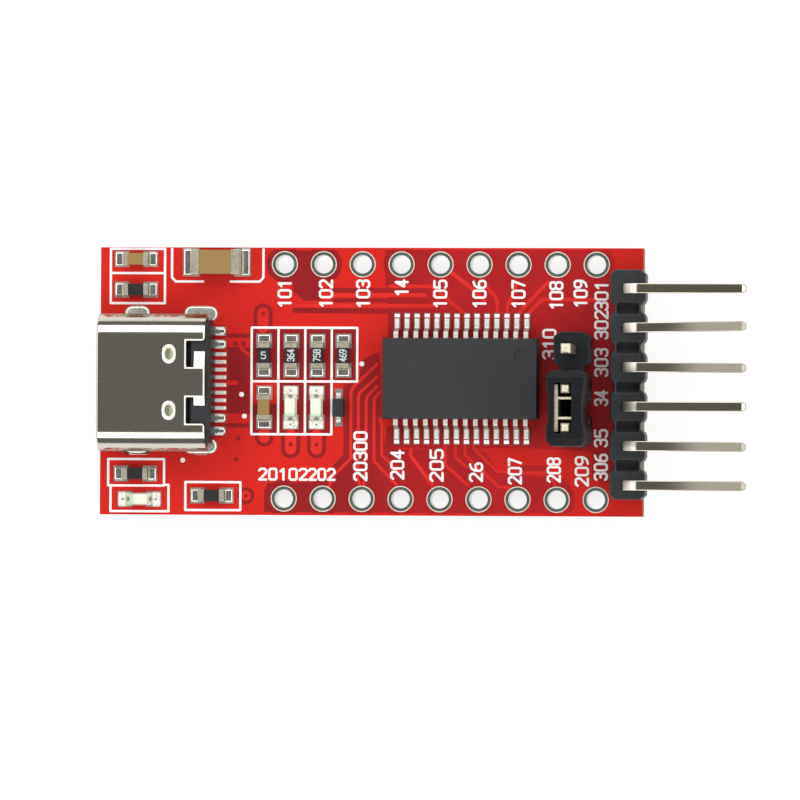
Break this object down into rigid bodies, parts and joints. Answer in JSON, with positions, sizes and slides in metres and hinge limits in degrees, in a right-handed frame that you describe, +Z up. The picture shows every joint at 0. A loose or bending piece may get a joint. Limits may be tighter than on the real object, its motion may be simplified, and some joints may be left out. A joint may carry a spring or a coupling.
{
  "type": "usb to serial adapter module",
  "caption": "Small red circuit board that links a reversible plug socket to a row of serial pins, with a bridge chip, indicator lights and a supply jumper.",
  "frame": {"origin": "centre of the two rows of plated holes, on the board's underside", "axes": "+X from the socket towards the long side pins, +Y across the board, +Z up through the board"},
  "size_m": [0.0423, 0.0174, 0.0115],
  "materials": {
    "board": "satin red solder mask on glass laminate",
    "tinned_copper": "tinned copper",
    "solder": "bright solder",
    "resistor_ceramic": "black glaze",
    "capacitor_ceramic": "tan ceramic",
    "end_caps": "tin plate",
    "led_carrier": "white laminate",
    "led_lens": "clear resin",
    "chip_plastic": "moulded epoxy",
    "lead_tin": "tin plate",
    "shell_steel": "plated sheet steel",
    "contact_gold": "gold plate",
    "header_plastic": "moulded nylon",
    "jumper_plastic": "moulded nylon",
    "pin_metal": "tin plate"
  },
  "bodies": {
    "module": {"circuit_board": "board", "upper_hole_plating": "tinned_copper", "lower_hole_plating": "tinned_copper", "header_hole_plating": "tinned_copper", "surface_pads": "tinned_copper", "component_solder": "solder", "chip_solder": "solder", "socket_leg_solder": "solder", "socket_lead_solder": "solder", "upright_header_solder": "solder", "side_header_solder": "solder", "resistor_1_body": "resistor_ceramic", "resistor_1_ends": "end_caps", "resistor_2_body": "resistor_ceramic", "resistor_2_ends": "end_caps", "resistor_3_body": "resistor_ceramic", "resistor_3_ends": "end_caps", "resistor_4_body": "resistor_ceramic", "resistor_4_ends": "end_caps", "resistor_5_body": "resistor_ceramic", "resistor_5_ends": "end_caps", "resistor_6_body": "resistor_ceramic", "resistor_6_ends": "end_caps", "resistor_7_body": "resistor_ceramic", "resistor_7_ends": "end_caps", "capacitor_1_body": "capacitor_ceramic", "capacitor_1_ends": "end_caps", "capacitor_2_body": "capacitor_ceramic", "capacitor_2_ends": "end_caps", "capacitor_3_body": "capacitor_ceramic", "capacitor_3_ends": "end_caps", "led_1_base": "led_carrier", "led_1_lens": "led_lens", "led_2_base": "led_carrier", "led_2_lens": "led_lens", "led_3_base": "led_carrier", "led_3_lens": "led_lens", "diode_body": "chip_plastic", "diode_leads": "lead_tin", "chip_body": "chip_plastic", "chip_leads": "lead_tin", "socket_shell": "shell_steel", "socket_mid_plate": "shell_steel", "socket_contacts": "contact_gold", "socket_housing": "header_plastic", "upright_header_housing": "header_plastic", "side_header_housing": "header_plastic", "upright_header_pin_1": "pin_metal", "upright_header_pin_2": "pin_metal", "upright_header_pin_3": "pin_metal", "side_header_pin_1": "pin_metal", "side_header_pin_2": "pin_metal", "side_header_pin_3": "pin_metal", "side_header_pin_4": "pin_metal", "side_header_pin_5": "pin_metal", "side_header_pin_6": "pin_metal"},
    "jumper_cap": {"jumper_housing": "jumper_plastic", "jumper_contact": "pin_metal"}
  },
  "joints": [
    {"name": "jumper_slide", "type": "slide", "parent": "module", "child": "jumper_cap", "axis": [0, 0, 1], "range_m": [0, 0.006]}
  ]
}
